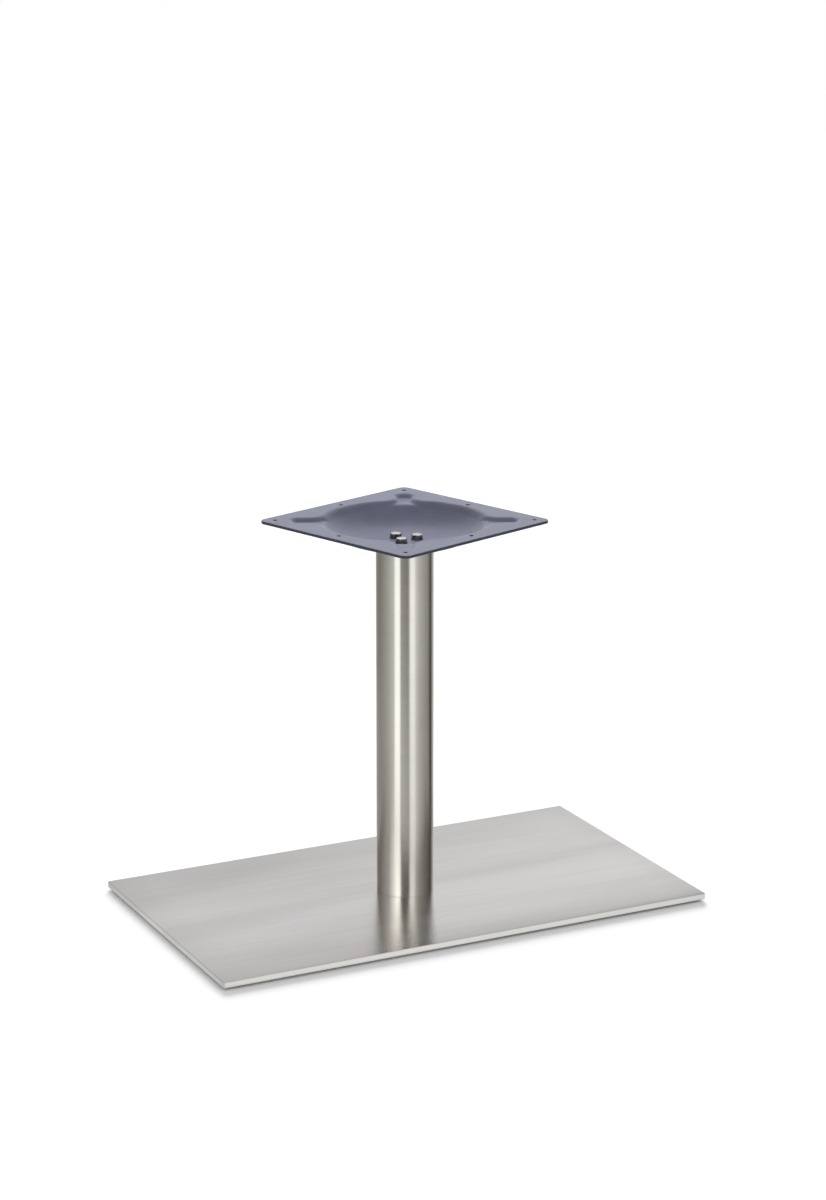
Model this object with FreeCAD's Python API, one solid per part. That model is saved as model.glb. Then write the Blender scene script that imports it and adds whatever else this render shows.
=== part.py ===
"""Pedestal table base of coffee-table height, in millimetres.

A flat rectangular steel plate stands on four low glides. A round tube rises from its centre, with a tapped
disc welded into each end. Countersunk screws from below hold the plate to the foot disc, and three hexagon
bolts hold a pressed, dished top plate to the head disc. The table top is screwed on through the top plate's
flange.

Frame: origin on the floor under the tube's axis, +X along the base plate's length, +Z up.
"""

import FreeCAD, Part
import math
import os

# Overall
overall_height = 520.0  # floor to the flange of the top plate

# Base plate
base_length = 700.0
base_width = 400.0
base_thickness = 8.0
base_corner_radius = 2.0
base_edge_break = 0.6

# Glides under the base plate
glide_height = 3.0
glide_diameter = 24.0
glide_edge_chamfer = 1.0
glide_inset = 36.0  # from each edge of the base plate to the glide's axis
glide_spigot_diameter = 8.0
glide_hole_cover = 3.0  # steel left over the glide's blind hole
glide_hole_spare_depth = 0.3
glide_fit = 0.05  # radial

# Column tube
column_diameter = 76.1
column_wall = 1.5
column_edge_break = 0.3

# Tapped discs welded into the tube's ends
disc_fit = 0.1  # radial, filled by the weld
foot_disc_thickness = 12.0
head_disc_thickness = 10.0
disc_edge_break = 0.8

# M8 threads, shown as plain cylinders
thread_diameter = 8.0
thread_fit = 0.05  # radial
bolt_clearance_hole = 9.0
thread_end_chamfer = 0.9

# Hexagon bolts and washers in the dish
bolt_count = 3
bolt_circle_diameter = 33.0
bolt_first_angle = -30.0  # from the top plate's own X axis
bolt_head_across_flats = 13.0
bolt_head_height = 5.3
bolt_head_chamfer_angle = 30.0
bolt_head_flat = 0.95  # of the width across flats, left level inside the chamfer
bolt_head_step = 17.0  # degrees by which each head is turned past the one before, as tightening leaves them
bolt_tail = 4.4  # thread that stands out below the head disc
washer_outer_diameter = 16.0
washer_inner_diameter = 8.4
washer_thickness = 1.6

# Countersunk socket screws under the base plate
base_screw_count = 4
base_screw_circle_diameter = 50.0
base_screw_first_angle = 45.0
base_screw_end_gap = 2.0  # below the foot disc's upper face
base_screw_head_diameter = 16.0
base_screw_recess = 0.4  # head below the plate's underside
base_screw_socket_across_flats = 5.0
base_screw_socket_depth = 2.8
countersink_fit = 0.06  # radial

# Pressed top plate
top_side = 270.0
top_corner_radius = 10.0
top_sheet = 4.0
top_edge_break = 0.5
top_turn_angle = 19.0  # about the tube's axis, as the plate stands on the column in the photograph
flange_width = 26.0  # at the middle of each side, out from where the wall's line meets the flange
flange_hole_diameter = 6.0
flange_hole_inset = 15.5  # from the plate's edge, for the corner and the mid-edge holes
dish_depth_share = 0.1  # of the plate's side
dish_floor_margin = 6.0  # level floor outside the tube's diameter
dish_wall_share = 0.3  # of the dish's depth, taken by the straight wall under the flange
dish_bowl_share = 0.88  # of the way from the level floor out to the flange, taken by the rounded bowl
dish_bowl_end = 0.95  # of the bowl's climb to the wall's foot is an arc, and the rest is straight
dish_lip_share = 0.6  # of the climb above the bowl's arc, taken by the rounded lip at the beads
wall_foot_margin = 1.0  # overlap of the construction solids below the wall's foot

# Stiffening beads pressed along the top plate's diagonals
bead_count = 4
bead_depth = 5.0
bead_floor_half_width = 7.6
bead_bend_share = 0.95  # of each bead's wall, taken up by its two bends
bead_end_gap = 21.0  # from the bead's outer end to the corner hole's centre
bead_mouth_radius = 20.0

# Heights and lengths that follow
base_underside = glide_height
base_top = base_underside + base_thickness
dish_depth = dish_depth_share * top_side
dish_floor_top = overall_height - dish_depth
dish_floor_underside = dish_floor_top - top_sheet
column_length = dish_floor_underside - base_top
glide_hole_depth = base_thickness - glide_hole_cover
dish_radius = top_side / 2 - flange_width
corner_hole_radius = (top_side / 2 - flange_hole_inset) * math.sqrt(2)
bead_reach = corner_hole_radius - bead_end_gap
bolt_length = washer_thickness + top_sheet + head_disc_thickness + bolt_tail
base_screw_length = base_thickness - base_screw_recess + foot_disc_thickness - base_screw_end_gap

# The dish's upper face: a level floor, a bowl that climbs ever more steeply, and a straight wall
dish_wall_drop = dish_wall_share * dish_depth
dish_floor_radius = column_diameter / 2 + dish_floor_margin
wall_foot_radius = dish_floor_radius + dish_bowl_share * (dish_radius - dish_floor_radius)
wall_slope = math.atan(dish_wall_drop / (dish_radius - wall_foot_radius))
bowl_rise = dish_depth - dish_wall_drop
bowl_slope = 2 * math.atan(bowl_rise / (wall_foot_radius - dish_floor_radius))
bowl_corner_radius = wall_foot_radius - bowl_rise / math.tan(bowl_slope)
bowl_round = dish_bowl_end * (bowl_corner_radius - dish_floor_radius) / math.tan(bowl_slope / 2)
climb_above_bowl = (dish_depth - bead_depth - dish_bowl_end * bowl_rise) / math.sin(bowl_slope)
lip_round = dish_lip_share * climb_above_bowl / math.tan(bowl_slope / 2)
lip_corner_radius = wall_foot_radius + (dish_wall_drop - bead_depth) / math.tan(bowl_slope)
bead_half_width = bead_floor_half_width + bead_depth / math.tan(wall_slope)
bends = bead_bend_share * bead_depth / math.sin(wall_slope) / math.tan(wall_slope / 2)
crease_radius = (bends - top_sheet) / 2  # inside each bend, so the outside has the sheet's thickness more

height_tolerance = 1e-4  # for finding edges and faces by their height
slope_tolerance = math.radians(0.5)  # for finding faces by their slope
cut_overshoot = 1.0  # of each cutting form past the face that it cuts
UP = FreeCAD.Vector(0, 0, 1)


def vec(x, y, z=0.0):
    return FreeCAD.Vector(x, y, z)


def cylinder(diameter, height, z=0.0):
    return Part.makeCylinder(diameter / 2, height, vec(0, 0, z))


def revolved(edges):
    """Closed profile in the XZ plane, turned about Z."""
    face = Part.Face(Part.Wire(Part.__sortEdges__(edges)))
    return face.revolve(vec(0, 0), UP, 360)


def turned_profile(points):
    """Closed outline of straight sides, radius and height, turned about Z."""
    outline = Part.makePolygon([vec(r, 0, z) for r, z in points + points[:1]])
    return Part.Face(outline).revolve(vec(0, 0), UP, 360)


def segment(start, end):
    return Part.makeLine(vec(start[0], 0, start[1]), vec(end[0], 0, end[1]))


def arc(start, middle, end):
    return Part.Arc(*(vec(p[0], 0, p[1]) for p in (start, middle, end))).toShape()


def rounded_rectangle(length, width, radius, height, z):
    """Prism with its upright edges rounded."""
    box = Part.makeBox(length, width, height, vec(-length / 2, -width / 2, z))
    upright = [e for e in box.Edges if abs(e.tangentAt(e.FirstParameter).z) > 0.9]
    return box.makeFillet(radius, upright)


def lies_at(thing, z):
    """Whether an edge or face lies wholly in the level plane at z."""
    box = thing.BoundBox
    return abs(box.ZMin - z) < height_tolerance and abs(box.ZMax - z) < height_tolerance


def edges_at(shape, *heights):
    """Edges in any of the level planes."""
    return [edge for edge in shape.Edges if any(lies_at(edge, z) for z in heights)]


def on_circle(count, diameter, first_angle):
    """Centres of evenly spaced holes."""
    for i in range(count):
        angle = math.radians(first_angle + i * 360.0 / count)
        yield vec(diameter / 2 * math.cos(angle), diameter / 2 * math.sin(angle))


def moved(shape, offset):
    copy = shape.copy()
    copy.translate(offset)
    return copy


def hexagon_prism(across_flats, height, z):
    corner = across_flats / 2 / math.cos(math.radians(30))
    angles = [math.radians(60 * i) for i in range(7)]
    points = [vec(corner * math.cos(a), corner * math.sin(a), z) for a in angles]
    return Part.Face(Part.makePolygon(points)).extrude(vec(0, 0, height))


# Places that more than one piece uses


def glide_places():
    x = base_length / 2 - glide_inset
    y = base_width / 2 - glide_inset
    return [vec(sx * x, sy * y) for sx in (-1, 1) for sy in (-1, 1)]


def bolt_places():
    return list(on_circle(bolt_count, bolt_circle_diameter, bolt_first_angle + top_turn_angle))


def base_screw_places():
    return list(on_circle(base_screw_count, base_screw_circle_diameter, base_screw_first_angle))


def flange_hole_places():
    """Corner holes and mid-edge holes, in the top plate's own frame."""
    reach = top_side / 2 - flange_hole_inset
    corners = on_circle(4, 2 * corner_hole_radius, 45.0)
    middles = on_circle(4, 2 * reach, 0.0)
    return list(corners) + list(middles)


# Base


def make_base_plate():
    plate = rounded_rectangle(base_length, base_width, base_corner_radius, base_thickness, base_underside)
    plate = plate.makeChamfer(base_edge_break, edges_at(plate, base_top, base_underside))
    sink = countersunk_form(base_screw_head_diameter / 2 + countersink_fit, bolt_clearance_hole / 2)
    for place in base_screw_places():
        plate = plate.cut(moved(sink, place))
    blind = cylinder(glide_spigot_diameter + 2 * glide_fit, glide_hole_depth, base_underside)
    for place in glide_places():
        plate = plate.cut(moved(blind, place))
    return plate


def countersunk_form(head_radius, shank_radius):
    """Recess, 90 degree cone and shank hole, open at the underside and running out of the plate's top."""
    seat = base_underside + base_screw_recess
    cone_height = head_radius - shank_radius
    return turned_profile(
        [
            (0, base_underside - cut_overshoot),
            (head_radius, base_underside - cut_overshoot),
            (head_radius, seat),
            (shank_radius, seat + cone_height),
            (shank_radius, base_top + cut_overshoot),
            (0, base_top + cut_overshoot),
        ]
    )


def make_glide():
    disc = cylinder(glide_diameter, glide_height)
    disc = disc.makeChamfer(glide_edge_chamfer, edges_at(disc, 0.0))
    spigot_top = base_underside + glide_hole_depth - glide_hole_spare_depth
    spigot = cylinder(glide_spigot_diameter, spigot_top - glide_height / 2, glide_height / 2)
    return disc.fuse(spigot).removeSplitter()


def make_base_screw():
    seat = base_underside + base_screw_recess
    head_radius = base_screw_head_diameter / 2
    thread_radius = thread_diameter / 2
    neck = seat + head_radius - thread_radius
    tip = seat + base_screw_length
    screw = turned_profile(
        [
            (0, seat),
            (head_radius, seat),
            (thread_radius, neck),
            (thread_radius, tip - thread_end_chamfer),
            (thread_radius - thread_end_chamfer, tip),
            (0, tip),
        ]
    )
    return screw.cut(hexagon_prism(base_screw_socket_across_flats, base_screw_socket_depth, seat))


# Column


def make_column_tube():
    tube = cylinder(column_diameter, column_length, base_top)
    tube = tube.makeChamfer(column_edge_break, edges_at(tube, base_top, base_top + column_length))
    return tube.cut(cylinder(column_diameter - 2 * column_wall, column_length, base_top))


def make_disc(thickness, z, places):
    diameter = column_diameter - 2 * (column_wall + disc_fit)
    disc = cylinder(diameter, thickness, z)
    disc = disc.makeChamfer(disc_edge_break, edges_at(disc, z, z + thickness))
    hole = cylinder(thread_diameter + 2 * thread_fit, thickness, z)
    for place in places:
        disc = disc.cut(moved(hole, place))
    return disc


# Top plate


def wall_inset(z, growth):
    """How far the dish's wall at height z lies inside its line in the flange's upper face."""
    return -z / math.tan(wall_slope) - growth / math.sin(wall_slope)


def turned(point, angle, z):
    """Plan point turned about the plate's centre and set at height z."""
    c, s = math.cos(angle), math.sin(angle)
    return vec(point[0] * c - point[1] * s, point[0] * s + point[1] * c, z)


def star_outline(inset, z):
    """Round dish with four round-ended beads and rounded mouths, one closed line of arcs and straights."""
    ring = dish_radius - inset
    half_width = bead_half_width - inset
    mouth = bead_mouth_radius + inset
    tip = bead_reach - bead_half_width
    mouth_y = half_width + mouth
    mouth_x = math.sqrt((ring + mouth) ** 2 - mouth_y**2)
    mouth_angle = math.atan2(mouth_y, mouth_x)
    # the mouth's arc starts on the bead's side, straight below its centre, and ends facing the plate's centre
    half_arc = (math.pi / 2 - mouth_angle) / 2
    arc_turn = -math.pi / 2 - half_arc
    on_ring = (ring * math.cos(mouth_angle), ring * math.sin(mouth_angle))
    on_mouth = (mouth_x + mouth * math.cos(arc_turn), mouth_y + mouth * math.sin(arc_turn))
    on_side = (mouth_x, half_width)
    tip_start = (tip, half_width)
    bead_step = 2 * math.pi / bead_count
    edges = []
    for i in range(bead_count):
        angle = bead_step * (i + 0.5)

        def place(point, side):
            return turned((point[0], side * point[1]), angle, z)

        for side in (-1, 1):
            mouth_points = [place(point, side) for point in (on_ring, on_mouth, on_side)]
            edges.append(Part.Arc(*mouth_points).toShape())
            edges.append(Part.makeLine(mouth_points[2], place(tip_start, side)))
        end = turned((tip + half_width, 0), angle, z)
        edges.append(Part.Arc(place(tip_start, -1), end, place(tip_start, 1)).toShape())
        next_start = turned((on_ring[0], -on_ring[1]), angle + bead_step, z)
        between = turned((ring, 0), angle + bead_step / 2, z)
        edges.append(Part.Arc(place(on_ring, 1), between, next_start).toShape())
    return Part.Wire(Part.__sortEdges__(edges))


def floor_line():
    """Corner points of the dish's upper face, from the centre out along the beads."""
    bowl_corner = (bowl_corner_radius, -dish_depth)
    lip_corner = (lip_corner_radius, -bead_depth)
    return [(0, -dish_depth), bowl_corner, lip_corner, (top_side, -bead_depth)]


def rounded_floor(drop):
    """Edges of the floor line with its two corners rounded, moved square to itself by the drop."""
    points = floor_line()
    start = (points[0][0], points[0][1] - drop)
    corners = [(points[1], 0.0, bowl_slope, bowl_round, 1), (points[2], bowl_slope, 0.0, lip_round, -1)]
    edges = []
    for corner, angle_in, angle_out, radius, side in corners:
        back = radius * math.tan(bowl_slope / 2)
        centre_x = corner[0] - back * math.cos(angle_in) - side * radius * math.sin(angle_in)
        centre_z = corner[1] - back * math.sin(angle_in) + side * radius * math.cos(angle_in)
        reach = side * radius + drop

        def on_arc(angle):
            return centre_x + reach * math.sin(angle), centre_z - reach * math.cos(angle)

        edges.append(segment(start, on_arc(angle_in)))
        edges.append(arc(on_arc(angle_in), on_arc(bowl_slope / 2), on_arc(angle_out)))
        start = on_arc(angle_out)
    edges.append(segment(start, (points[3][0], points[3][1] - drop)))
    return edges


def space_over_floor(drop, ceiling):
    """Everything between the floor line, lowered by the drop, and a level ceiling."""
    far = floor_line()[3][0]
    profile = rounded_floor(drop)
    profile.append(segment((far, -bead_depth - drop), (far, ceiling)))
    profile.append(segment((far, ceiling), (0, ceiling)))
    profile.append(segment((0, ceiling), (0, -dish_depth - drop)))
    return revolved(profile)


def is_wall(face):
    """Whether a face has the slope of the dish's wall."""
    u_first, u_last, v_first, v_last = face.ParameterRange
    normal = face.normalAt((u_first + u_last) / 2, (v_first + v_last) / 2)
    return abs(math.acos(min(1.0, abs(normal.z))) - wall_slope) < slope_tolerance


def pressing(growth, ceiling, foot_round):
    """Solid that fills the dish and its beads up to the ceiling, grown outward by the growth."""
    bottom = -dish_wall_drop - wall_foot_margin - growth
    outlines = [star_outline(wall_inset(z, growth), z) for z in (bottom, ceiling)]
    star = Part.makeLoft(outlines, True, True)
    ring_radius = dish_radius - wall_inset(bottom, growth)
    bowl_rise_left = growth / math.cos(bowl_slope) - growth - wall_foot_margin
    well_radius = (ring_radius + wall_foot_radius + bowl_rise_left / math.tan(bowl_slope)) / 2
    well_bottom = -dish_depth - growth - cut_overshoot
    well = cylinder(2 * well_radius, ceiling - well_bottom, well_bottom)
    body = space_over_floor(growth, ceiling).common(star.fuse(well)).removeSplitter()
    creases = []
    for edge in body.Edges:
        faces = body.ancestorsOfType(edge, Part.Face)
        if len(faces) == 2 and not lies_at(edge, ceiling) and is_wall(faces[0]) != is_wall(faces[1]):
            creases.append(edge)
    return body.makeFillet(foot_round, creases)


def rim_edges(sheet, z):
    """Closed line in which the flange's face at height z meets the pressing."""
    for face in sheet.Faces:
        if lies_at(face, z):
            for wire in face.Wires:
                if wire.BoundBox.DiagonalLength < face.BoundBox.DiagonalLength - height_tolerance:
                    return wire.Edges
    raise RuntimeError("the flange has no rim")


def make_top_plate():
    slab = rounded_rectangle(top_side, top_side, top_corner_radius, top_sheet, -top_sheet)
    slab = slab.makeChamfer(top_edge_break, edges_at(slab, 0.0, -top_sheet))
    outer = pressing(top_sheet, -top_sheet / 2, crease_radius + top_sheet)
    inner = pressing(0.0, cut_overshoot, crease_radius)
    sheet = slab.fuse(outer).cut(inner).removeSplitter()
    sheet = sheet.makeFillet(crease_radius + top_sheet, rim_edges(sheet, 0.0))
    sheet = sheet.makeFillet(crease_radius, rim_edges(sheet, -top_sheet))
    hole = cylinder(flange_hole_diameter, 3 * top_sheet, -2 * top_sheet)
    for place in flange_hole_places():
        sheet = sheet.cut(moved(hole, place))
    sheet.translate(vec(0, 0, overall_height))
    sheet.rotate(vec(0, 0), UP, top_turn_angle)
    bolt_hole = cylinder(bolt_clearance_hole, 3 * top_sheet, dish_floor_underside - top_sheet)
    for place in bolt_places():
        sheet = sheet.cut(moved(bolt_hole, place))
    return sheet


# Bolts in the dish


def make_washer():
    ring = cylinder(washer_outer_diameter, washer_thickness, dish_floor_top)
    return ring.cut(cylinder(washer_inner_diameter, washer_thickness, dish_floor_top))


def make_bolt(head_turn):
    seat = dish_floor_top + washer_thickness
    top = seat + bolt_head_height
    head = hexagon_prism(bolt_head_across_flats, bolt_head_height, seat)
    corner = bolt_head_across_flats / 2 / math.cos(math.radians(30))
    flat = bolt_head_across_flats / 2 * bolt_head_flat
    fall = math.tan(math.radians(bolt_head_chamfer_angle))
    reach = 2 * corner
    crown = turned_profile(
        [
            (0, top),
            (flat, top),
            (reach, top - (reach - flat) * fall),
            (reach, seat - bolt_head_height),
            (0, seat - bolt_head_height),
        ]
    )
    head = head.common(crown)
    head.rotate(vec(0, 0), UP, head_turn)
    shank = cylinder(thread_diameter, bolt_length + bolt_head_height / 2, seat - bolt_length)
    shank = shank.makeChamfer(thread_end_chamfer, edges_at(shank, seat - bolt_length))
    return head.fuse(shank).removeSplitter()


def save(name, shape):
    if not shape.isValid():
        raise RuntimeError(name + " isn't valid")
    print(f"{name}: {len(shape.Solids)} solid, {shape.Volume / 1000:.2f} cm3, {len(shape.Faces)} faces")
    shape.exportStep(f"parts/{name}.step")


def main():
    os.makedirs("parts", exist_ok=True)
    save("base_plate", make_base_plate())
    save("column_tube", make_column_tube())
    save("foot_disc", make_disc(foot_disc_thickness, base_top, base_screw_places()))
    head_disc_bottom = dish_floor_underside - head_disc_thickness
    save("head_disc", make_disc(head_disc_thickness, head_disc_bottom, bolt_places()))
    save("top_plate", make_top_plate())
    for number, place in enumerate(glide_places(), 1):
        save(f"glide_{number}", moved(make_glide(), place))
    for number, place in enumerate(base_screw_places(), 1):
        save(f"base_screw_{number}", moved(make_base_screw(), place))
    for number, place in enumerate(bolt_places(), 1):
        save(f"top_bolt_{number}", moved(make_bolt(number * bolt_head_step), place))
        save(f"top_washer_{number}", moved(make_washer(), place))


main()
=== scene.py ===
"""Looks of a pedestal table base: brushed steel plate and tube, dark painted top plate, bright bolts.

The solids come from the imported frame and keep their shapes. Lengths are in metres, with +X along the base
plate and +Z up.
"""

import math

import bpy
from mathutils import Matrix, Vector


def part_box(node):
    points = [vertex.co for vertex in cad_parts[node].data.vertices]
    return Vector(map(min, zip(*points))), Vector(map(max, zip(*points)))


bl_info = {
    "name": "Pedestal table base looks",
    "version": (1, 0, 0),
    "blender": (4, 5, 0),
    "location": "View3D > Sidebar > Table Base",
    "description": "Finishes the steel, paint, fasteners and studio of a pedestal table base",
    "category": "Object",
}

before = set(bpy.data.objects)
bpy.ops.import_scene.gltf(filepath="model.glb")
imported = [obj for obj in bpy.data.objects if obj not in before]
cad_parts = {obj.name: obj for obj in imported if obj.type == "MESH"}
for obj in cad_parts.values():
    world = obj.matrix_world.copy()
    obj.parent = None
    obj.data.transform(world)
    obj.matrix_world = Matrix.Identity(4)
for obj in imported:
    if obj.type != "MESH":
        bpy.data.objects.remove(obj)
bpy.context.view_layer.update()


class TableBaseLooks(bpy.types.PropertyGroup):
    """Sizes and colours that a user would change."""

    steel_color: bpy.props.FloatVectorProperty(
        name="Steel", description="Colour of the brushed stainless steel", subtype="COLOR", size=3,
        min=0, max=1, default=(0.80, 0.795, 0.785),
    )
    plate_grain_length: bpy.props.FloatProperty(
        name="Plate grain length", description="Typical length of a brush mark on the base plate",
        unit="LENGTH", default=0.12,
    )
    grain_width: bpy.props.FloatProperty(
        name="Grain width", description="Typical width of a brush mark", unit="LENGTH", default=0.0006,
    )
    tube_grain_length: bpy.props.FloatProperty(
        name="Tube grain length", description="Typical length of a brush mark round the tube",
        unit="LENGTH", default=0.03,
    )
    paint_color: bpy.props.FloatVectorProperty(
        name="Paint", description="Colour of the top plate's paint", subtype="COLOR", size=3,
        min=0, max=1, default=(0.195, 0.206, 0.298),
    )
    paint_grain: bpy.props.FloatProperty(
        name="Paint texture", description="Size of the paint's orange peel", unit="LENGTH", default=0.0015,
    )
    zinc_color: bpy.props.FloatVectorProperty(
        name="Zinc", description="Colour of the plated fasteners", subtype="COLOR", size=3,
        min=0, max=1, default=(0.84, 0.82, 0.77),
    )
    floor_size: bpy.props.FloatProperty(
        name="Floor", description="Side of the studio floor", unit="LENGTH", default=14.0,
    )
    camera_place: bpy.props.FloatVectorProperty(
        name="Camera", description="Where the camera stands", subtype="TRANSLATION", unit="LENGTH",
        size=3, default=(-1.72621, -3.48989, 1.47824),
    )
    camera_turn: bpy.props.FloatProperty(
        name="Camera turn", description="Turn of the view about the vertical", subtype="ANGLE",
        default=math.radians(-26.476),
    )
    camera_dip: bpy.props.FloatProperty(
        name="Camera dip", description="How far the view looks down", subtype="ANGLE",
        default=math.radians(15.316),
    )
    camera_lens: bpy.props.FloatProperty(
        name="Lens", description="Focal length for a 36 mm long side", subtype="DISTANCE_CAMERA",
        default=92.335,
    )


def looks():
    return bpy.context.scene.table_base_looks


class Graph:
    """A node tree with short calls for adding and joining nodes."""

    def __init__(self, tree):
        self.tree = tree
        tree.nodes.clear()

    def add(self, kind, inputs=None, **settings):
        node = self.tree.nodes.new(kind)
        for name, value in settings.items():
            setattr(node, name, value)
        for socket, value in (inputs or {}).items():
            if isinstance(value, bpy.types.NodeSocket):
                self.tree.links.new(value, node.inputs[socket])
            else:
                node.inputs[socket].default_value = value
        return node

    def math(self, operation, first, second=0.0):
        return self.add("ShaderNodeMath", {0: first, 1: second}, operation=operation).outputs[0]

    def line(self, value, slope, start):
        """The value times the slope, plus the start."""
        return self.math("ADD", self.math("MULTIPLY", value, slope), start)

    def parts(self, vector):
        """The X, Y and Z of a vector."""
        return self.add("ShaderNodeSeparateXYZ", {0: vector}).outputs

    def place(self):
        """Where on the object a point lies."""
        return self.add("ShaderNodeTexCoord").outputs["Object"]

    def ramp(self, factor, stops):
        """Colour ramp from (position, grey or colour) stops."""
        node = self.add("ShaderNodeValToRGB", {"Fac": factor})
        ramp = node.color_ramp
        while len(ramp.elements) < len(stops):
            ramp.elements.new(1.0)
        for element, (position, value) in zip(ramp.elements, stops):
            element.position = position
            tone = value if hasattr(value, "__len__") else (value, value, value)
            element.color = (*tone, 1.0)
        return node.outputs["Color"]

    def noise(self, vector, scale, detail=2.0, roughness=0.5):
        """Noise of one scale, or drawn out by a scale for each axis."""
        if isinstance(scale, tuple):
            vector = self.add("ShaderNodeMapping", {"Vector": vector, "Scale": scale}).outputs[0]
            scale = 1.0
        inputs = {"Vector": vector, "Scale": scale, "Detail": detail, "Roughness": roughness}
        return self.add("ShaderNodeTexNoise", inputs).outputs["Fac"]

    def bump(self, height, strength, distance):
        inputs = {"Strength": strength, "Distance": distance, "Height": height}
        return self.add("ShaderNodeBump", inputs).outputs[0]

    def output(self, shader, kind="ShaderNodeOutputMaterial"):
        self.add(kind, {"Surface": shader})

    def principled(self, inputs):
        """Makes a Principled shader the surface of the material."""
        self.output(self.add("ShaderNodeBsdfPrincipled", inputs).outputs[0])


def new_material(name):
    material = bpy.data.materials.new(name)
    material.use_nodes = True
    return material, Graph(material.node_tree)


def scaled(color, factor):
    return tuple(min(1.0, c * factor) for c in color)


def scaled_vector(vector, factors):
    return tuple(v * f for v, f in zip(vector, factors))


def dress(node_names, material):
    """Gives CAD nodes their finish."""
    for name in node_names:
        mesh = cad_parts[name].data
        mesh.materials.clear()
        mesh.materials.append(material)


def named(prefix):
    return sorted(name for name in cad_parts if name.startswith(prefix))


def multiplied(graph, first, second):
    return graph.add(
        "ShaderNodeMix", {"Factor": 1.0, 6: first, 7: second}, data_type="RGBA", blend_type="MULTIPLY"
    ).outputs[2]


def blended(graph, factor, first, second):
    return graph.add("ShaderNodeMix", {"Factor": factor, 6: first, 7: second}, data_type="RGBA").outputs[2]


def mixed(graph, factor, first, second):
    return graph.add("ShaderNodeMix", {"Factor": factor, 2: first, 3: second}, data_type="FLOAT").outputs[0]


def eased(graph, value, start, end):
    """0 up to the start and 1 from the end on, with a soft rise between them."""
    inputs = {"Value": value, "From Min": start, "From Max": end}
    return graph.add("ShaderNodeMapRange", inputs, interpolation_type="SMOOTHSTEP").outputs[0]


def edge_mask(graph, radius):
    """1 where the surface turns a corner within the radius, 0 on open faces."""
    rounded = graph.add("ShaderNodeBevel", {"Radius": radius}, samples=8).outputs[0]
    facing = graph.add("ShaderNodeNewGeometry").outputs["Normal"]
    alike = graph.add("ShaderNodeVectorMath", {0: rounded, 1: facing}, operation="DOT_PRODUCT")
    limits = {"Value": alike.outputs["Value"], "From Min": 0.985, "From Max": 0.80}
    return graph.add("ShaderNodeMapRange", limits).outputs[0]


# Scales of the finer patterns in brushed steel: the hairs' as a share of the brush marks', and the patches'
# and streaks' as a share of the clouds'
HAIR_SCALE = (0.35, 2.3, 2.3)
PATCH_SCALE = (0.55, 0.45, 0.45)
STREAK_SCALE = (1.6, 5.5, 5.5)


def brushed_steel(name, marks, clouds, grain_way, roughness, anisotropy):
    """Steel whose brush marks are noise drawn out along the grain, in tone, roughness and height.

    The grain runs ALONG a plate in X, or ROUND a tube about Z. Marks and clouds are noise scales.
    """
    material, graph = new_material(name)
    place = graph.place()
    if grain_way == "ROUND":
        place = around_tube(graph, place)
    fine = graph.noise(place, marks, 4.0, 0.65)
    hair = graph.noise(place, scaled_vector(marks, HAIR_SCALE))
    cloud = graph.noise(place, clouds, 1.5)
    patch = graph.noise(place, scaled_vector(clouds, PATCH_SCALE))
    streak = graph.noise(place, scaled_vector(clouds, STREAK_SCALE))
    steel = looks().steel_color
    tone = graph.ramp(fine, [(0.25, scaled(steel, 0.93)), (0.75, scaled(steel, 1.05))])
    tone = multiplied(graph, tone, graph.ramp(cloud, [(0.25, 0.90), (0.5, 0.97), (0.75, 1.0)]))
    tone = multiplied(graph, tone, graph.ramp(patch, [(0.3, (0.91, 0.895, 0.89)), (0.55, (1.0, 1.0, 1.0))]))
    tone = multiplied(graph, tone, graph.ramp(streak, [(0.35, 0.975), (0.6, 1.0)]))
    # Painted shade: the plate's steel is darker along its margins
    if grain_way == "ALONG":
        tone = multiplied(graph, tone, painted_margin_shade(graph, place))
    # Painted shade: a darker line along the edges stands in for the dark reflection on a rounded arris
    darker_edges = graph.math("MULTIPLY", edge_mask(graph, radius=0.0012), graph.ramp(fine, [(0.2, 0.5), (0.7, 1.0)]))
    tone = blended(graph, darker_edges, tone, (*scaled(steel, 0.62), 1.0))
    rough = graph.line(cloud, 0.03, graph.line(fine, 0.08, roughness - 0.04))
    across = {"Z": 1.0} if grain_way == "ROUND" else {"Y": 1.0}
    graph.principled({
        "Base Color": tone,
        "Metallic": 1.0,
        "Roughness": rough,
        "Anisotropic": anisotropy,
        "Normal": graph.bump(hair, strength=0.10, distance=0.0004),
        "Tangent": graph.add("ShaderNodeCombineXYZ", across).outputs[0],
    })
    return material


def painted_margin_shade(graph, place):
    """Darker steel along the plate's margins, less so on its narrow sides: painted shade in place of darker
    reflections.

    The front margin is darker towards +X and the back margin towards -X.
    """
    low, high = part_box("base_plate")
    parts = graph.parts(place)
    across = graph.math("ADD", graph.math("DIVIDE", parts[1], high.y - low.y), 0.5)
    along = graph.math("ADD", graph.math("DIVIDE", parts[0], high.x - low.x), 0.5)
    front = graph.ramp(
        across, [(0.0, 0.10), (0.002, 0.28), (0.015, 0.19), (0.05, 0.13), (0.16, 0.04), (0.32, 0.0)]
    )
    back = graph.ramp(across, [(0.62, 0.0), (0.80, 0.09), (0.998, 0.17), (1.0, 0.03)])
    front = graph.math("MULTIPLY", front, graph.line(along, 1.2, 0.5))
    back = graph.math("MULTIPLY", back, graph.line(along, -0.6, 1.15))
    ends = graph.ramp(along, [(0.0, 0.07), (0.08, 0.0), (0.94, 0.0), (1.0, 0.06)])
    shade_amount = graph.math("ADD", graph.math("ADD", front, back), ends)
    return graph.math("SUBTRACT", 1.0, shade_amount)


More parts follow.
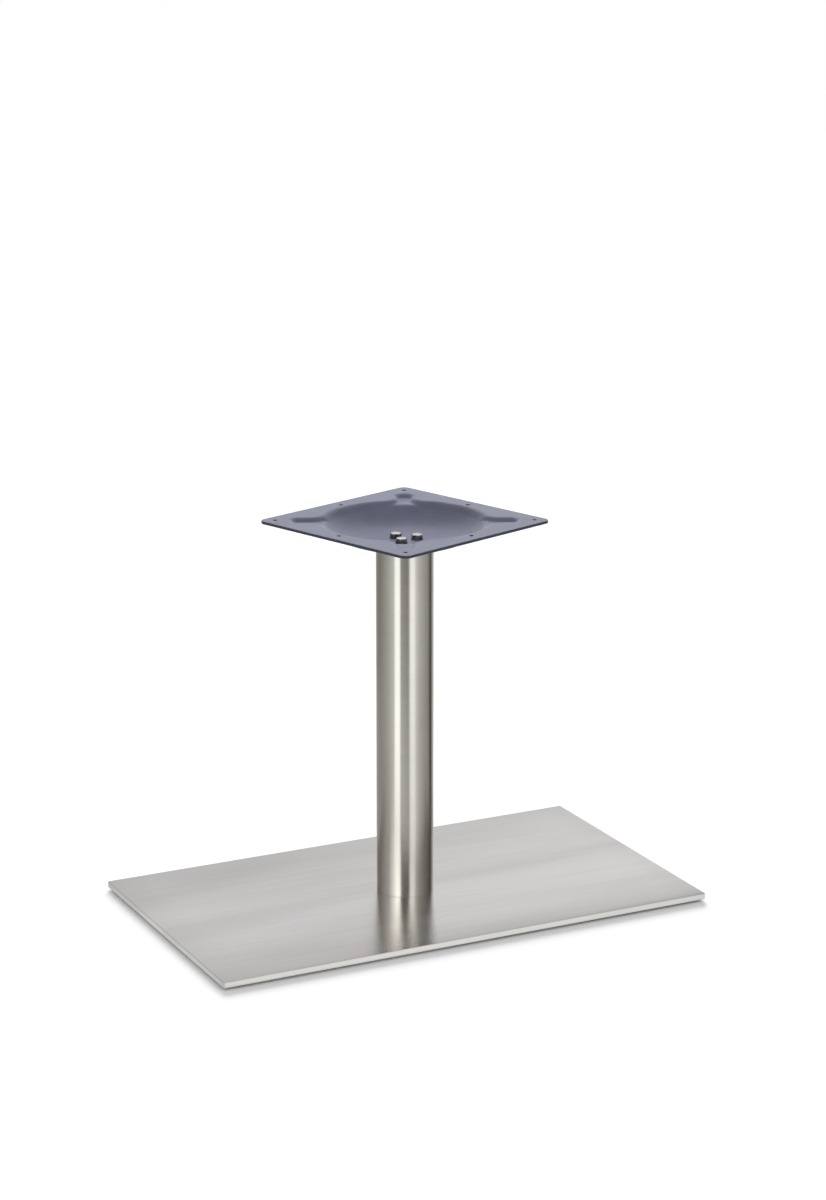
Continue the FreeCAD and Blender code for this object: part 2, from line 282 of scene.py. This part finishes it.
def around_tube(graph, place):
    """Turns a place on the tube into its length round the tube as X and its height as Z."""
    parts = graph.parts(place)
    angle = graph.math("ARCTAN2", parts[1], parts[0])
    low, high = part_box("column_tube")
    arc = graph.math("MULTIPLY", angle, (high.x - low.x) / 2)
    return graph.add("ShaderNodeCombineXYZ", {"X": arc, "Z": parts[2]}).outputs[0]


def grain(length, width):
    """Noise scale for marks of this length along X and this width across."""
    return (1 / length, 1 / width, 1 / width)


def semi_gloss_paint():
    """Dark paint with orange peel, thin and rubbed along the plate's corners and hole rims, with a painted
    highlight along them and painted shade on upright faces.
    """
    material, graph = new_material("dark_paint_semi_gloss")
    place = graph.place()
    peel = graph.noise(place, 1 / looks().paint_grain)
    cloud = graph.noise(place, 18.0, 3.0, 0.6)
    scuff = graph.noise(place, 420.0, 4.0, 0.7)
    color = looks().paint_color
    tone = graph.ramp(cloud, [(0.3, scaled(color, 0.9)), (0.7, scaled(color, 1.12))])
    # Painted shade: faces that stand upright, such as the sheet's cut edges, are darkened
    facing = graph.add("ShaderNodeNewGeometry").outputs["Normal"]
    level = graph.math("ABSOLUTE", graph.parts(facing)[2])
    upright_shade = graph.add("ShaderNodeMapRange", {"Value": level, "From Min": 0.35, "From Max": 0.05}).outputs[0]
    tone = blended(graph, upright_shade, tone, (*scaled(color, 0.30), 1.0))
    # Rubbed paint in spots along the corners and hole rims, and all along them a painted highlight
    wear_and_highlight = graph.ramp(scuff, [(0.42, 0.12), (0.60, 0.75)])
    rubbed_and_highlit = graph.math("MULTIPLY", edge_mask(graph, radius=0.0008), wear_and_highlight)
    tone = blended(graph, rubbed_and_highlit, tone, (*scaled(color, 2.2), 1.0))
    graph.principled({
        "Base Color": tone,
        "Roughness": graph.line(rubbed_and_highlit, 0.15, graph.line(cloud, 0.10, 0.26)),
        "Normal": graph.bump(peel, strength=0.10, distance=0.0002),
        "IOR": 1.5,
        "Specular IOR Level": 0.25,
        "Sheen Weight": 0.12,
        "Sheen Roughness": 0.35,
        "Sheen Tint": (0.80, 0.85, 1.0, 1.0),
    })
    return material


def zinc_plating(name, painted_shade):
    """Bright plating with painted shade where it meets what it clamps, as tones by how open the place is."""
    material, graph = new_material(name)
    place = graph.place()
    spots = graph.noise(place, 900.0, 3.0, 0.6)
    smear = graph.noise(place, (240.0, 240.0, 60.0))
    color = looks().zinc_color
    tone = graph.ramp(smear, [(0.3, scaled(color, 0.82)), (0.7, scaled(color, 1.08))])
    open_air = graph.add("ShaderNodeAmbientOcclusion", {"Distance": 0.012}, samples=8).outputs["AO"]
    # Painted shade: the plating is darker where little is open round it
    tone = multiplied(graph, tone, graph.ramp(open_air, painted_shade))
    darker_edges = graph.math("MULTIPLY", edge_mask(graph, radius=0.0005), 0.6)
    tone = blended(graph, darker_edges, tone, (*scaled(color, 0.95), 1.0))
    rough = graph.line(spots, 0.10, 0.12)
    bump = graph.bump(spots, strength=0.15, distance=0.0001)
    graph.principled({"Base Color": tone, "Metallic": 1.0, "Roughness": rough, "Normal": bump})
    return material


def turned_steel():
    """Mild steel with the rings of the lathe and faint stains."""
    material, graph = new_material("turned_mild_steel")
    place = graph.place()
    rings = graph.add(
        "ShaderNodeTexWave", {"Vector": place, "Scale": 260.0, "Distortion": 0.4, "Detail": 1.0},
        wave_type="RINGS", rings_direction="Z",
    ).outputs["Fac"]
    stain = graph.noise(place, 45.0, 4.0, 0.6)
    tone = graph.ramp(stain, [(0.3, (0.30, 0.29, 0.28)), (0.7, (0.42, 0.41, 0.40))])
    rough = graph.line(stain, 0.2, 0.3)
    bump = graph.bump(rings, strength=0.2, distance=0.0001)
    graph.principled({"Base Color": tone, "Metallic": 1.0, "Roughness": rough, "Normal": bump})
    return material


def moulded_nylon():
    """Black nylon with a spark-eroded grain and scuffs."""
    material, graph = new_material("moulded_black_nylon")
    place = graph.place()
    spark = graph.noise(place, 1400.0, 2.0, 0.6)
    scuff = graph.noise(place, 90.0, 4.0, 0.65)
    tone = graph.ramp(scuff, [(0.35, (0.030, 0.030, 0.032)), (0.75, (0.055, 0.055, 0.058))])
    rough = graph.line(scuff, 0.2, 0.45)
    bump = graph.bump(spark, strength=0.25, distance=0.0001)
    graph.principled({"Base Color": tone, "Roughness": rough, "Normal": bump})
    return material


class TABLEBASE_OT_base_plate(bpy.types.Operator):
    """Brushes the base plate along its length"""

    bl_idname = "table_base.base_plate"
    bl_label = "Base plate"

    def execute(self, context):
        steel = brushed_steel(
            "brushed_plate",
            marks=grain(looks().plate_grain_length, looks().grain_width),
            clouds=(2.6, 15.0, 15.0),
            grain_way="ALONG",
            roughness=0.14,
            anisotropy=1.0,
        )
        dress(["base_plate"], steel)
        return {"FINISHED"}


class TABLEBASE_OT_column(bpy.types.Operator):
    """Brushes the tube round its girth"""

    bl_idname = "table_base.column"
    bl_label = "Column tube"

    def execute(self, context):
        steel = brushed_steel(
            "brushed_tube",
            marks=grain(looks().tube_grain_length, looks().grain_width),
            clouds=(9.0, 9.0, 5.0),
            grain_way="ROUND",
            roughness=0.19,
            anisotropy=0.95,
        )
        dress(["column_tube"], steel)
        return {"FINISHED"}


class TABLEBASE_OT_top_plate(bpy.types.Operator):
    """Paints the pressed top plate"""

    bl_idname = "table_base.top_plate"
    bl_label = "Top plate"

    def execute(self, context):
        dress(["top_plate"], semi_gloss_paint())
        return {"FINISHED"}


class TABLEBASE_OT_fasteners(bpy.types.Operator):
    """Plates the bolts, washers and screws"""

    bl_idname = "table_base.fasteners"
    bl_label = "Bolts, washers and screws"

    def execute(self, context):
        # Painted shade by how open the place is: deep on the bolts and washers, light on the screws
        bolts = zinc_plating("zinc_plating_deep_shade", [(0.45, 0.05), (0.80, 0.28), (0.97, 1.0)])
        dress(named("top_bolt") + named("top_washer"), bolts)
        dress(named("base_screw"), zinc_plating("zinc_plating_light_shade", [(0.1, 0.55), (0.8, 1.0)]))
        return {"FINISHED"}


class TABLEBASE_OT_inner_parts(bpy.types.Operator):
    """Finishes the welded discs and the glides"""

    bl_idname = "table_base.inner_parts"
    bl_label = "Discs and glides"

    def execute(self, context):
        dress(["foot_disc", "head_disc"], turned_steel())
        dress(named("glide"), moulded_nylon())
        return {"FINISHED"}


# What polished metal sees round the studio: bearing from the front of the view in degrees, then the
# brightness of the far floor, of the floor near the object, and of the screens above the floor as one
# polished face shows them in another
FAR_FLOOR, NEAR_FLOOR, SCREENS = 1, 2, 3
SURROUNDINGS = (
    (-180, 0.80, 0.80, 0.80),
    (-165, 0.70, 0.70, 0.70),
    (-150, 0.30, 0.40, 0.30),
    (-127, 0.20, 0.35, 0.20),
    (-105, 0.25, 0.35, 0.30),
    (-68, 0.40, 0.45, 0.55),
    (-42, 0.60, 0.70, 1.50),
    (-39, 1.30, 1.50, 2.00),
    (-20, 1.30, 1.50, 2.00),
    (-17, 0.20, 0.70, 0.25),
    (-8, 0.13, 0.65, 0.15),
    (17, 0.10, 0.50, 0.10),
    (20, 1.20, 1.05, 1.30),
    (38, 1.20, 1.05, 1.30),
    (44, 0.70, 0.70, 0.65),
    (60, 0.50, 0.50, 0.35),
    (90, 0.35, 0.35, 0.20),
    (106, 0.30, 0.30, 0.15),
    (118, 0.05, 0.05, 0.05),
    (128, 0.05, 0.05, 0.05),
    (135, 0.30, 0.30, 0.30),
    (150, 0.60, 0.60, 0.60),
    (165, 0.80, 0.80, 0.85),
    (180, 0.80, 0.80, 0.80),
)
# The screens as a polished face shows them by itself: bearing and brightness
OPEN_STUDIO = (
    (-180, 0.77),
    (-172, 0.75),
    (-150, 0.62),
    (-120, 0.45),
    (-85, 0.60),
    (-45, 0.95),
    (-20, 0.95),
    (-10, 0.50),
    (15, 0.45),
    (25, 0.95),
    (45, 0.90),
    (75, 0.64),
    (110, 0.45),
    (140, 0.64),
    (172, 0.89),
    (180, 0.77),
)
FRONT_BEARING = math.radians(-116.48)
# A colour ramp holds tones up to 1, so the brightnesses go through it divided by this
TONE_SCALE = 2.0
# Ray Depth is 2 in what a polished face shows by itself, and more in what it shows of another face
ONE_FACE_DEPTH = 2.5
# The ceiling takes over from the screens between these heights, as the Z of a unit vector
CEILING_RISE = (0.66, 0.86)
CEILING_TONE = 0.68
SOFT_LIGHT = 0.50
# Distances from the middle between which the near floor gives way to the far floor, in metres
FLOOR_EASING = (0.5, 1.7)
# How near the floor is to the base's sides, in metres, and its brightness in them and beyond the -X end
SIDE_REACH, SIDE_TONE, END_TONE = 0.08, 1.10, 0.80
# The same for the base's underside
UNDERSIDE_REACH, UNDERSIDE_TONE = 0.010, 0.55


def bearing_share(graph, direction):
    """Bearing of a direction as a share of the full turn, with the front of the view at one half."""
    turned = graph.add(
        "ShaderNodeVectorRotate", {"Vector": direction, "Angle": -FRONT_BEARING}, rotation_type="Z_AXIS"
    ).outputs[0]
    parts = graph.parts(turned)
    turns = graph.math("DIVIDE", graph.math("ARCTAN2", parts[1], parts[0]), 2 * math.pi)
    return graph.math("ADD", turns, 0.5)


def strips(graph, share, table, column=1):
    """Brightness of the strips of light and shade round the object, from one column of a table."""
    stops = [((row[0] + 180) / 360, row[column] / TONE_SCALE) for row in table]
    return graph.math("MULTIPLY", graph.ramp(share, stops), TONE_SCALE)


def tinted(graph, tone):
    """Colour of the studio at a brightness: the shaded strips are warmer than the bright ones."""
    stops = [
        (0.05, (1.0, 0.96, 0.90)),
        (0.10, (1.0, 0.93, 0.82)),
        (0.17, (1.0, 0.955, 0.90)),
        (0.25, (1.0, 0.965, 0.89)),
        (0.36, (1.0, 0.995, 0.985)),
        (0.60, (1.0, 0.985, 0.94)),
    ]
    return graph.ramp(graph.math("DIVIDE", tone, TONE_SCALE), stops)


def seen_straight(graph, path):
    """1 for what the camera sees by itself or through something clear."""
    return graph.math("MAXIMUM", path["Is Camera Ray"], path["Is Transmission Ray"])


def straight_mirror(graph, path):
    """1 for what a polished face shows by itself, 0 once light has been scattered on its way."""
    unscattered = graph.math("LESS_THAN", path["Diffuse Depth"], 0.5)
    return graph.math("MULTIPLY", path["Is Glossy Ray"], unscattered)


def by_ray(graph, path, plain, seen, mirrored):
    """Shader for scattered light, for what is seen straight and for what a polished face shows."""
    straight = seen_straight(graph, path)
    lit = graph.add("ShaderNodeMixShader", {0: straight, 1: plain.outputs[0], 2: seen.outputs[0]})
    mirror = straight_mirror(graph, path)
    return graph.add("ShaderNodeMixShader", {0: mirror, 1: lit.outputs[0], 2: mirrored.outputs[0]}).outputs[0]


def make_world():
    """Pure white where it is seen, soft light for the object, and strips of light and shade in metal."""
    world = bpy.data.worlds.new("studio")
    world.use_nodes = True
    graph = Graph(world.node_tree)
    bpy.context.scene.world = world
    direction = graph.add("ShaderNodeTexCoord").outputs["Generated"]
    path = graph.add("ShaderNodeLightPath").outputs
    flat = graph.add("ShaderNodeVectorMath", {0: direction}, operation="NORMALIZE").outputs[0]
    rise = graph.parts(flat)[2]
    share = bearing_share(graph, direction)
    one_face = graph.math("LESS_THAN", path["Ray Depth"], ONE_FACE_DEPTH)
    in_another = strips(graph, share, SURROUNDINGS, SCREENS)
    screens = mixed(graph, one_face, in_another, strips(graph, share, OPEN_STUDIO))
    tone = mixed(graph, eased(graph, rise, *CEILING_RISE), screens, CEILING_TONE)
    warmth = blended(graph, one_face, (1.0, 0.98, 0.945, 1.0), (0.998, 0.99, 1.01, 1.0))
    color = multiplied(graph, tinted(graph, tone), warmth)
    mirrored = graph.add("ShaderNodeBackground", {"Strength": tone, "Color": color})
    soft = graph.add("ShaderNodeBackground", {"Strength": SOFT_LIGHT, "Color": (1, 1, 1, 1)})
    seen = graph.add("ShaderNodeBackground", {"Strength": 1.0, "Color": (1, 1, 1, 1)})
    graph.output(by_ray(graph, path, soft, seen, mirrored), "ShaderNodeOutputWorld")


def make_floor():
    """White paper that keeps the object's shadow, shows strips in metal and is clear from below."""
    side = looks().floor_size / 2
    corners = [(-side, -side, 0), (side, -side, 0), (side, side, 0), (-side, side, 0)]
    mesh = bpy.data.meshes.new("floor")
    mesh.from_pydata(corners, [], [(0, 1, 2, 3)])
    floor = bpy.data.objects.new("floor", mesh)
    bpy.context.scene.collection.objects.link(floor)
    material, graph = new_material("studio_floor")
    path = graph.add("ShaderNodeLightPath").outputs
    place = graph.add("ShaderNodeNewGeometry").outputs["Position"]
    distance = graph.add("ShaderNodeVectorMath", {0: place}, operation="LENGTH").outputs["Value"]
    share = bearing_share(graph, place)
    away = eased(graph, distance, *FLOOR_EASING)
    near = strips(graph, share, SURROUNDINGS, NEAR_FLOOR)
    tone = mixed(graph, away, near, strips(graph, share, SURROUNDINGS, FAR_FLOOR))
    close = graph.math("LESS_THAN", path["Ray Length"], SIDE_REACH)
    low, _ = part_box("base_plate")
    beyond_end = graph.math("LESS_THAN", graph.parts(place)[0], low.x)
    tone = mixed(graph, close, tone, mixed(graph, beyond_end, SIDE_TONE, END_TONE))
    under = graph.math("LESS_THAN", path["Ray Length"], UNDERSIDE_REACH)
    tone = mixed(graph, under, tone, UNDERSIDE_TONE)
    color = multiplied(graph, tinted(graph, tone), (0.99, 1.0, 0.955, 1.0))
    color = blended(graph, close, color, (1.0, 0.995, 0.985, 1.0))
    mirrored = graph.add("ShaderNodeEmission", {"Strength": tone, "Color": color})
    paper = graph.add("ShaderNodeBsdfDiffuse", {"Color": (0.9, 0.9, 0.9, 1)})
    gain = graph.add("ShaderNodeBsdfDiffuse", {"Color": (0.3, 0.3, 0.3, 1)})
    glow = graph.add("ShaderNodeEmission", {"Strength": 0.05})
    seen = graph.add("ShaderNodeAddShader", {0: paper.outputs[0], 1: gain.outputs[0]})
    seen = graph.add("ShaderNodeAddShader", {0: seen.outputs[0], 1: glow.outputs[0]})
    above = by_ray(graph, path, paper, seen, mirrored)
    clear = graph.add("ShaderNodeBsdfTransparent").outputs[0]
    from_below = graph.add("ShaderNodeNewGeometry").outputs["Backfacing"]
    graph.output(graph.add("ShaderNodeMixShader", {0: from_below, 1: above, 2: clear}).outputs[0])
    mesh.materials.append(material)


def make_key(azimuth, elevation, spread, strength):
    """A low light from behind, in degrees. Only the base shades it, so the floor is clear but for its rim."""
    data = bpy.data.lights.new("key", "SUN")
    data.energy = strength
    data.angle = math.radians(spread)
    lamp = bpy.data.objects.new("key", data)
    azimuth, elevation = math.radians(azimuth), math.radians(elevation)
    level = math.cos(elevation)
    toward = Vector((level * math.cos(azimuth), level * math.sin(azimuth), math.sin(elevation)))
    lamp.rotation_euler = toward.to_track_quat("Z", "Y").to_euler()
    lamp.visible_glossy = False
    bpy.context.scene.collection.objects.link(lamp)
    shading = bpy.data.collections.new("shades_the_floor")
    for name in ["base_plate"] + named("glide"):
        shading.objects.link(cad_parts[name])
    lamp.light_linking.blocker_collection = shading


def make_camera():
    data = bpy.data.cameras.new("camera")
    data.lens = looks().camera_lens
    data.sensor_width = 36.0
    data.clip_end = 60.0
    camera = bpy.data.objects.new("camera", data)
    camera.location = looks().camera_place
    camera.rotation_euler = (math.pi / 2 - looks().camera_dip, 0.0, looks().camera_turn)
    bpy.context.scene.collection.objects.link(camera)
    bpy.context.scene.camera = camera


class TABLEBASE_OT_stage(bpy.types.Operator):
    """Sets up the floor, the light round the object and the camera"""

    bl_idname = "table_base.stage"
    bl_label = "Studio"

    def execute(self, context):
        context.scene.view_settings.view_transform = "Standard"
        make_world()
        make_floor()
        make_key(azimuth=67.0, elevation=22.0, spread=30.0, strength=3.0)
        make_camera()
        return {"FINISHED"}


OPERATORS = (
    TABLEBASE_OT_base_plate,
    TABLEBASE_OT_column,
    TABLEBASE_OT_top_plate,
    TABLEBASE_OT_fasteners,
    TABLEBASE_OT_inner_parts,
    TABLEBASE_OT_stage,
)


class TABLEBASE_PT_panel(bpy.types.Panel):
    """Lists the steps that dress the table base"""

    bl_idname = "TABLEBASE_PT_panel"
    bl_label = "Table Base"
    bl_space_type = "VIEW_3D"
    bl_region_type = "UI"
    bl_category = "Table Base"

    def draw(self, context):
        for name in TableBaseLooks.__annotations__:
            self.layout.prop(context.scene.table_base_looks, name)
        for operator in OPERATORS:
            self.layout.operator(operator.bl_idname)


def register():
    for item in (TableBaseLooks, *OPERATORS, TABLEBASE_PT_panel):
        bpy.utils.register_class(item)
    bpy.types.Scene.table_base_looks = bpy.props.PointerProperty(type=TableBaseLooks)


def unregister():
    del bpy.types.Scene.table_base_looks
    for item in (TABLEBASE_PT_panel, *reversed(OPERATORS), TableBaseLooks):
        bpy.utils.unregister_class(item)


def main():
    register()
    bpy.ops.table_base.base_plate()
    bpy.ops.table_base.column()
    bpy.ops.table_base.top_plate()
    bpy.ops.table_base.fasteners()
    bpy.ops.table_base.inner_parts()
    bpy.ops.table_base.stage()


if __name__ == "__main__":
    main()
